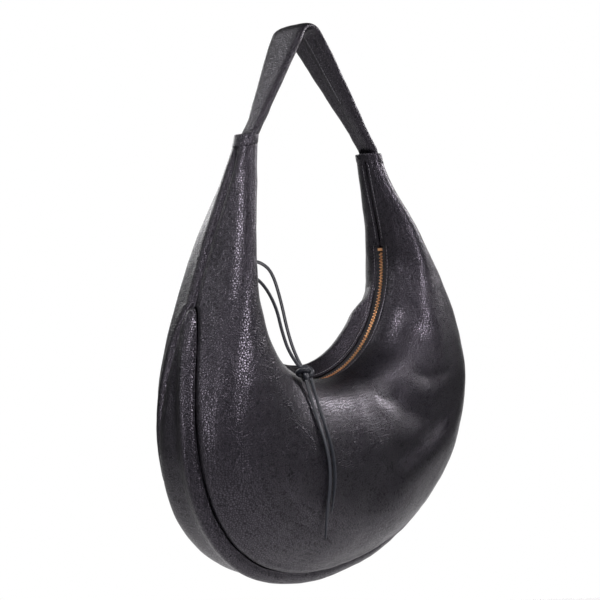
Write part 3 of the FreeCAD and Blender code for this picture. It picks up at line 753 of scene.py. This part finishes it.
def tooth(angle, face):
    """One metal tooth: a clamp over the tape and a rounded head that reaches past the middle."""
    verts, faces = [], []
    for y, height in TOOTH_LEVELS:
        wide = TOOTH_HALF * (1.0 if y > 0 else 0.78)
        for turn, rise in ((-wide, -height), (wide, -height), (wide, height), (-wide, height)):
            verts.append(on_arc(angle + turn, rise * MM, face * y * MM))
    for base in range(0, len(verts) - 4, 4):
        for corners in ((0, 1, 5, 4), (1, 2, 6, 5), (2, 3, 7, 6), (3, 0, 4, 7)):
            faces.append(tuple(base + i for i in corners))
    faces += [(3, 2, 1, 0), tuple(range(len(verts) - 4, len(verts)))]
    return verts, faces


for face, name in ((-1, "zip_teeth_front"), (1, "zip_teeth_back")):
    teeth_parts = []
    angle = -TOOTH_SPAN + (0 if face < 0 else PITCH / 2)
    while angle < TOOTH_SPAN:
        teeth_parts.append(tooth(angle, face))
        angle += PITCH
    teeth = finish_normals(
        mesh_piece(name + "_single", *join(teeth_parts), COPPER, "bag", "zip_metal", smooth=False))
    bevel = teeth.modifiers.new("edges", "BEVEL")
    bevel.width = 0.15 * MM
    bevel.segments = 2
    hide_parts(name)


TAPE_STEPS = 180
# across the tape from the teeth: y and rise, in mm
TAPE_LEVELS = ((1.6, 0.0), (2.4, 0.05), (4.2, 0.05), (6.2, -0.05), (8.2, -0.2), (10.1, -0.3))


def tape_grid(face):
    """The tape lies flat beside the teeth, then drops a little under the leather's edge."""
    rows = []
    for angle in np.linspace(-HALF_ANGLE, HALF_ANGLE, TAPE_STEPS):
        ripple = 0.12 * math.sin(angle * 31 + face)
        rows.append([
            on_arc(angle, (rise + ripple * min(y / 6, 1)) * MM, face * y * MM)
            for y, rise in TAPE_LEVELS])
    return np.array(rows)


for face, name in ((-1, "zip_tape_front"), (1, "zip_tape_back")):
    middle = tape_grid(face)
    half = outward(middle) * 0.3 * MM
    tape = shell(name + "_woven", middle + half, middle - half, TAPE, "zip_tape")
    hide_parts(name)

for name in ("zip_top_stop", "zip_bottom_stop"):
    paint(name, COPPER)


# ---- the slider and its ring

START = math.radians(-93.5)
PLATE_POINTS = 36
# a plate's rounded edge: its outline's scale, and the height above its inner face, in mm
PLATE_LEVELS = ((0.90, 0.0), (1.0, 0.25), (1.0, 0.95), (0.93, 1.25), (0.75, 1.3))
FLANGE_STEPS = 13
# the bridge that carries the ring: along the zip and rise, in mm
BRIDGE_ROUTE = (
    (-4.0, 2.4), (-4.1, 3.9), (-3.5, 5.3), (-2.0, 6.0), (0, 6.2),
    (2.0, 6.0), (3.5, 5.3), (4.1, 3.9), (4.0, 2.4),
)
BRIDGE_STEPS, BRIDGE_SIDES = 33, 12
BRIDGE_ACROSS, BRIDGE_THICK = 1.15, 0.55


def slider_point(along, y, rise):
    """A point of the closed slider, in mm: along the zip, across it, towards the arc's centre."""
    return on_arc(START + along * MM / RADIUS, rise * MM, y * MM)


def plate(sign):
    """A shield-shaped plate with a rounded edge, above (sign 1) or below the teeth."""
    outline = [
        (6.0 * rounded(c, 0.55), (4.8 + 0.7 * min(c, 0)) * rounded(s, 0.6))
        for c, s in circle(1.0, PLATE_POINTS)]
    verts = []
    for scale, height in PLATE_LEVELS:
        for along, across in outline:
            verts.append(slider_point(along * scale, across * scale, sign * (1.75 + height)))
    return verts, tube_faces(len(PLATE_LEVELS), PLATE_POINTS)


def flange(side, sign):
    """A lip down one side of a plate, turned towards the other plate."""
    verts = []
    for k in range(FLANGE_STEPS):
        along = -4.6 + 9.2 * k / (FLANGE_STEPS - 1)
        for y, rise in ((4.05, 2.2), (4.75, 2.2), (4.75, 1.15), (4.05, 1.15)):
            verts.append(slider_point(along, side * y, sign * rise))
    return verts, tube_faces(FLANGE_STEPS, 4)


def bridge():
    """The rounded loop over the upper plate that holds the ring."""
    curve = resample(np.array(BRIDGE_ROUTE), BRIDGE_STEPS)
    verts = []
    for index, place in enumerate(curve):
        tangent = unit(curve[min(index + 1, len(curve) - 1)] - curve[max(index - 1, 0)])
        side = np.array([-tangent[1], tangent[0]])
        for a, b in circle(1.0, BRIDGE_SIDES):
            along, rise = place + side * b * BRIDGE_THICK
            verts.append(slider_point(along, a * BRIDGE_ACROSS, rise))
    return verts, tube_faces(BRIDGE_STEPS, BRIDGE_SIDES)


slider_parts = [plate(sign) for sign in (1, -1)]
slider_parts += [flange(side, sign) for side in (-1, 1) for sign in (1, -1)]
slider_parts.append(bridge())
slider = finish_normals(
    mesh_piece("zip_slider_cast", *join(slider_parts), DARK_METAL, "slider", "zip_metal"))
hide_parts("zip_slider")
paint("zip_ring", DARK_METAL)


# ---- the lace: routes in millimetres, with the same points as in the CAD

LOOP_ROUTE = (
    (-63.5, -48.0, -348.0), (-69.0, -39.0, -334.0), (-69.0, -29.0, -311.0), (-68.5, -22.0, -287.0),
    (-75.5, -13.5, -264.5), (-88.0, -8.0, -253.0), (-104.6, -4.0, -253.0), (-98.3, -4.0, -241.7),
    (-88.0, -7.5, -238.5), (-78.0, -13.0, -241.4), (-68.0, -17.5, -251.5), (-63.6, -24.0, -280.6),
    (-64.0, -32.0, -311.0), (-63.0, -41.0, -335.5), (-60.5, -48.0, -348.5),
)
LONG_ROUTE = (
    (-65.0, -56.0, -357.5), (-67.8, -64.0, -375.0), (-69.4, -75.0, -398.5), (-66.7, -81.5, -419.0),
    (-64.6, -84.6, -442.0), (-67.0, -85.5, -465.0), (-71.5, -84.3, -489.0), (-69.0, -79.5, -515.0),
)
SHORT_ROUTE = (
    (-58.2, -56.5, -357.5), (-58.5, -63.5, -377.0), (-61.0, -75.0, -400.0), (-58.6, -81.2, -421.0),
    (-57.0, -84.6, -444.0), (-59.5, -85.5, -466.0), (-64.0, -84.0, -490.0),
)
KNOT = np.array([-61.5, -51.0, -352.5]) * MM
KNOT_STEPS, KNOT_SIDES = 120, 14
LACE_WIDTH, LACE_THICK = 3.4 * MM, 2.4 * MM
LACE_SIDES = 16
ROUTE_STEPS = 14


def nurbs_line(route):
    """Points along a smooth NURBS spline whose control points are the route."""
    data = bpy.data.curves.new("route", "CURVE")
    data.dimensions = "3D"
    spline = data.splines.new("NURBS")
    spline.points.add(len(route) - 1)
    for point, place in zip(spline.points, route):
        point.co = (*(size * MM for size in place), 1.0)
    spline.order_u = 3
    spline.use_endpoint_u = True
    spline.resolution_u = ROUTE_STEPS
    carrier = bpy.data.objects.new("route", data)
    mesh = bpy.data.meshes.new_from_object(carrier)
    line = [tuple(v.co) for v in mesh.vertices]
    bpy.data.objects.remove(carrier)
    bpy.data.curves.remove(data)
    bpy.data.meshes.remove(mesh)
    return line


def lace_piece(name, route, body, pointed=False, turn=0.0):
    """A flat lace with rounded edges. A pointed one narrows at its end; turn is its twist in radians."""
    line = nurbs_line(route)
    count = len(line)
    section = [
        (LACE_WIDTH / 2 * rounded(c, 0.6), LACE_THICK / 2 * rounded(s, 0.6))
        for c, s in circle(1.0, LACE_SIDES)]

    def ring(share):
        size = 1.0
        if pointed:
            size = min(1.0, 0.25 + 0.9 * (1 - share) * count / ROUTE_STEPS)
        c, s = math.cos(turn * share), math.sin(turn * share)
        return [(a * size * c - b * s, a * size * s + b * c) for a, b in section]

    verts = [v for r in sweep(line, ring) for v in r]
    piece = finish_normals(
        mesh_piece(name, verts, tube_faces(count, LACE_SIDES), LACE, body, "lace_leather"))
    return piece, line


loop, loop_line = lace_piece("lace_loop_leather", LOOP_ROUTE, "lace")
long_tail, long_line = lace_piece("lace_tail_long_leather", LONG_ROUTE, "tails", True, turn=0.5)
short_tail, short_line = lace_piece("lace_tail_short_leather", SHORT_ROUTE, "tails", True, turn=-0.4)
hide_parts("lace_loop")
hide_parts("lace_tail_long")
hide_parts("lace_tail_short")


def overhand_knot():
    """A tight overhand knot of the doubled lace: a trefoil curve, thick enough to fill itself."""
    line = []
    for k in range(KNOT_STEPS):
        a = 2 * math.pi * k / KNOT_STEPS
        x = (math.sin(a) + 2 * math.sin(2 * a)) / 3
        y = -math.sin(3 * a)
        z = (math.cos(a) - 2 * math.cos(2 * a)) / 3
        line.append(Vector((x * 7.0, y * 4.2 - 1.3, z * 6.8)) * MM + Vector(KNOT))
    rings = sweep(line, lambda share: circle(3.0 * MM, KNOT_SIDES, 0.85), closed=True)
    verts = [v for r in rings for v in r]
    faces = grid_faces(KNOT_STEPS, KNOT_SIDES, wrap=True)
    # the frame has turned on its way round, so the last ring is joined at its nearest match
    first, last = rings[0], rings[-1]
    offset = min(range(KNOT_SIDES), key=lambda s: sum(
        (last[j] - first[(j + s) % KNOT_SIDES]).length for j in range(KNOT_SIDES)))
    base = (KNOT_STEPS - 1) * KNOT_SIDES
    for j in range(KNOT_SIDES):
        k = (j + 1) % KNOT_SIDES
        faces.append((base + j, base + k, (k + offset) % KNOT_SIDES, (j + offset) % KNOT_SIDES))
    return finish_normals(mesh_piece("lace_knot_leather", verts, faces, LACE, "lace", "lace_leather"))


knot = overhand_knot()
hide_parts("lace_knot")


# ---- the strap: one soft folded piece from inside one arm, over the top, into the other

TOP_RADIUS, STRAP_THICK, STRAP_WIDTH = 0.018, 0.009, 0.044
# points along the strap, and round each face of its section
STRAP_STEPS, STRAP_FACE = 240, 40
# where it leaves each arm: its width, and how far it moves along Y
STRAP_ENDS = {-1: (0.0185, -0.0125), 1: (0.0255, -0.0030)}
# how far under the fold its legs are upright, and where it ends
STRAP_FEET = {-1: (0.020, 0.042), 1: (0.022, 0.042)}


def strap_line():
    """The strap's middle line in X and Z, from inside the left arm to inside the right one."""
    arc_z = STRAP_THICK / 2 - TOP_RADIUS
    feet, touches = {}, {}
    for side in (-1, 1):
        foot = BAG[0] + side * (ARM_X + ARM_WIDTH / 2)
        feet[side] = [(foot, FOLD_Z - depth) for depth in STRAP_FEET[side]]
        reach = math.hypot(foot, FOLD_Z - arc_z)
        touches[side] = math.atan2(FOLD_Z - arc_z, foot) + side * math.acos(TOP_RADIUS / reach)
    over = [
        (TOP_RADIUS * math.cos(a), arc_z + TOP_RADIUS * math.sin(a))
        for a in np.linspace(touches[-1] % (2 * math.pi), touches[1], 25)]
    return resample(np.array(feet[-1][::-1] + over + feet[1]), STRAP_STEPS)


def strap_height(wide, width, thick, under):
    """How far the strap's surface lies from its middle line, at a place across its width."""
    height = thick / 2 * (1 - abs(2 * wide / width) ** 4.76) ** 0.375
    if not under:
        return height + (0.55 * math.cos(math.pi * wide / width) + 0.10) * MM
    # one rolled edge laps over the other along the middle of the underside
    flap = float(fade(wide, -0.8 * MM, 0.9 * MM) * (1 - fade(wide, -15 * MM, -6 * MM)))
    return -height - 1.3 * MM * flap + 0.35 * MM * math.exp(-(((wide - 4 * MM) / (4 * MM)) ** 2))


def strap_mesh():
    """The strap's rings. Each goes over the outer face first, then back along the underside."""
    line = strap_line()
    # soften the corners where the legs meet the arc and the arms
    for _ in range(6):
        line[1:-1] = (line[:-2] + 2 * line[1:-1] + line[2:]) / 4
    # 0 at the fold and below it, 1 at the top
    height = np.clip((line[:, 1] - FOLD_Z) / -FOLD_Z, 0, 1)
    rings = []
    for index, (x, z) in enumerate(line):
        tangent = unit(line[min(index + 1, STRAP_STEPS - 1)] - line[max(index - 1, 0)])
        outwards = np.array([-tangent[1], 0, tangent[0]])
        share = height[index]
        end_width, end_y = STRAP_ENDS[-1 if index < STRAP_STEPS / 2 else 1]
        width = end_width + (STRAP_WIDTH - end_width) * min(share / 0.86, 1.0) ** 0.92
        thick = STRAP_THICK * (0.86 + 0.10 * math.sin(math.pi * share))
        middle = np.array([x, end_y * (1 - share), z])
        row = []
        for k in range(2 * STRAP_FACE):
            wide = width / 2 * math.cos(math.pi * k / STRAP_FACE)
            up = strap_height(wide, width, thick, k >= STRAP_FACE)
            row.append(middle + np.array([0, wide, 0]) + outwards * up)
        rings.append(row)
    rings = np.array(rings)
    away = unit(rings - rings.mean(1, keepdims=True))
    ripple = 0.45 * soft_noise(rings, 55.0, 31) + 0.18 * soft_noise(rings, 140.0, 32)
    # creases just above the arms; the parts inside the arms stay plain
    gathered = fade(np.abs(height - 0.05), 0.02, 0.25)[:, None]
    ripple += 0.6 * gathered * soft_noise(rings * np.array([1, 2.2, 0.4]), 80.0, 33)
    ripple *= np.clip((line[:, 1] - (FOLD_Z - 0.030)) / 0.02, 0, 1)[:, None]
    return rings + away * (ripple * MM)[..., None]


rings = strap_mesh()
strap = finish_normals(mesh_piece(
    "strap_leather_folded", rings.reshape(-1, 3), tube_faces(*rings.shape[:2]), STRAP_BLACK, None,
    "strap_leather"))
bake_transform(strap)
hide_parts("strap", "strap_webbing", "strap_end_left", "strap_end_right")


# ---- stitches, each a short rounded thread

STITCH, STITCH_GAP, THREAD_RADIUS = 2.9 * MM, 1.0 * MM, 0.28 * MM
THREAD_SIDES = 8
# along a stitch: the share of its length, its height over the leather in mm, its relative thickness
STITCH_LEVELS = (
    (0.0, -0.25, 0.5), (0.12, 0.05, 0.95), (0.5, 0.22, 1.05), (0.88, 0.05, 0.95), (1.0, -0.25, 0.5),
)


def chain_point(place, run, chain):
    """The point of a chain at one distance along it."""
    return np.array([np.interp(place, run, chain[:, k]) for k in range(3)])


def stitch_row(name, places, normals, body):
    """Short threads laid along a chain of surface points."""
    run = lengths(places)
    threads = []
    start = 0.0
    while start + STITCH < run[-1]:
        first, last = (chain_point(place, run, places) for place in (start, start + STITCH))
        up = unit(chain_point(start + STITCH / 2, run, normals))
        side = np.cross(unit(last - first), up)
        verts = []
        for share, height, size in STITCH_LEVELS:
            centre = first + (last - first) * share + up * (height * MM)
            verts += [centre + side * a + up * b for a, b in circle(THREAD_RADIUS * size, THREAD_SIDES)]
        threads.append((verts, tube_faces(len(STITCH_LEVELS), THREAD_SIDES)))
        start += STITCH + STITCH_GAP
    finish_normals(mesh_piece(name, *join(threads), THREAD, body, "zip_tape"))


def along_panel(face, distance, low, high):
    """Surface points and normals at one distance from the slot, between two values of v."""
    outer, turned, stations, from_slot, _ = panels[face]
    kept = [row for row, v in enumerate(stations) if low <= v <= high]
    return tuple(
        np.array([chain_point(distance, from_slot[row], grid[row]) for row in kept])
        for grid in (outer, turned))


# the strap's row runs just off the middle of the underside
underside = rings[:, STRAP_FACE * 3 // 2 - 2]
above_fold = underside[:, 2] > FOLD_Z + 0.026
stitch_row("strap_stitches", underside[above_fold], (underside - rings.mean(1))[above_fold], "handle")
for face, label in ((-1, "front"), (1, "back")):
    stitch_row(
        f"zip_stitches_{label}", *along_panel(face, 3.0 * MM, -ZIP_END - 0.004, ZIP_END + 0.004), "bag")
    for side, low, high in (("left", -0.972, -ZIP_END - 0.03), ("right", ZIP_END + 0.03, 0.972)):
        stitch_row(f"arm_stitches_{label}_{side}", *along_panel(face, 4.2 * MM, low, high), "bag")


# ---- camera, light and room

scene = bpy.context.scene
camera_data = bpy.data.cameras.new("camera")
camera = bpy.data.objects.new("camera", camera_data)
scene.collection.objects.link(camera)
scene.camera = camera
camera_data.sensor_width, camera_data.lens = 36.0, 53.9
camera_data.shift_x, camera_data.shift_y = -0.0245, -0.0065
camera_data.clip_start, camera_data.clip_end = 0.01, 50.0
AIM, DISTANCE = Vector((0.012, -0.004, -0.2815)), 0.9838
azimuth, elevation, roll = math.radians(-49.07), math.radians(4.0), math.radians(1.6)
level = math.cos(elevation)
back = Vector((math.sin(azimuth) * level, -math.cos(azimuth) * level, math.sin(elevation)))
right = Vector((math.cos(azimuth), math.sin(azimuth), 0))
up = back.cross(right)
turned_right = right * math.cos(roll) - up * math.sin(roll)
turned_up = right * math.sin(roll) + up * math.cos(roll)
eye = AIM + back * DISTANCE
camera.matrix_world = Matrix((
    (turned_right.x, turned_up.x, back.x, eye.x),
    (turned_right.y, turned_up.y, back.y, eye.y),
    (turned_right.z, turned_up.z, back.z, eye.z),
    (0, 0, 0, 1)))

CENTRE = (0.0, 0.0, -0.32)
WHITE, ROSY = (1.0, 1.0, 1.0), (1.0, 0.96, 1.0)
# name, place, what it points at, width and height, power, colour
SOFTBOXES = (
    ("front", (-0.15, -2.05, 0.28), (0.0, 0.0, -0.22), (0.40, 0.60), 27, ROSY),
    ("high", (0.85, -1.85, 1.20), CENTRE, (0.8, 0.5), 11, ROSY),
    ("right", (2.0, -0.55, 0.50), (0.0, 0.0, -0.20), (0.5, 0.6), 21, ROSY),
    ("side", (-2.15, -0.20, -0.10), CENTRE, (0.25, 1.2), 13, ROSY),
    ("left_high", (-1.25, -0.65, 1.30), CENTRE, (0.45, 0.45), 32, (1.0, 0.97, 1.0)),
    ("left_back", (-1.9, 0.9, 0.4), CENTRE, (0.4, 1.0), 8, WHITE),
    ("overhead", (-0.45, 1.2, 1.4), (0.0, 0.0, -0.1), (0.7, 0.6), 7, WHITE),
    ("back", (0.4, 2.2, 0.6), CENTRE, (0.9, 0.7), 16, WHITE),
)
for name, place, target, size, power, colour in SOFTBOXES:
    data = bpy.data.lights.new(name, "AREA")
    data.shape = "RECTANGLE"
    data.size, data.size_y = size
    data.energy = power
    data.color = colour
    lamp = bpy.data.objects.new(name, data)
    scene.collection.objects.link(lamp)
    lamp.location = place
    lamp.rotation_euler = (Vector(target) - Vector(place)).to_track_quat("-Z", "Y").to_euler()

world = bpy.data.worlds.new("studio")
scene.world = world
world.use_nodes = True
background = world.node_tree.nodes["Background"]
background.inputs["Color"].default_value = (1.0, 1.0, 1.0, 1.0)
background.inputs["Strength"].default_value = 0.06

FLOOR_Z, FLOOR_HALF = -1.35, 6.0
WALL_HALF = 1.05
CORNERS = ((-1, -1), (1, -1), (1, 1), (-1, 1))

floor_mat, floor_tree, floor_shader = material("floor_pale")
floor_noise = texture(floor_tree, "ShaderNodeTexNoise", Scale=3.0, Detail=2.0)
floor_colour = ramp(floor_tree, floor_noise, "Fac", ((0.3, (0.86, 0.86, 0.86)), (0.7, (0.9, 0.9, 0.9))))
link(floor_tree, floor_colour, "Color", floor_shader, "Base Color")
floor_shader.inputs["Roughness"].default_value = 0.7
floor = mesh_piece(
    "floor", [(FLOOR_HALF * x, FLOOR_HALF * y, FLOOR_Z) for x, y in CORNERS], [(0, 1, 2, 3)], floor_mat,
    None, smooth=False)

# a glowing wall behind the bag, square to the main view
wall_mat, wall_tree, wall_shader = material("backdrop")
wall_tree.nodes.remove(wall_shader)
glow = node(wall_tree, "ShaderNodeEmission", Strength=1.0)
link(wall_tree, glow, "Emission", wall_tree.nodes["Material Output"], "Surface")
far = Vector((0.012, -0.004, -0.30)) - back * 1.7
wall = mesh_piece(
    "backdrop", [far + right * (WALL_HALF * x) + Vector((0, 0, WALL_HALF * z)) for x, z in CORNERS],
    [(0, 1, 2, 3)], wall_mat, None, smooth=False)
scene.view_settings.view_transform = "Standard"
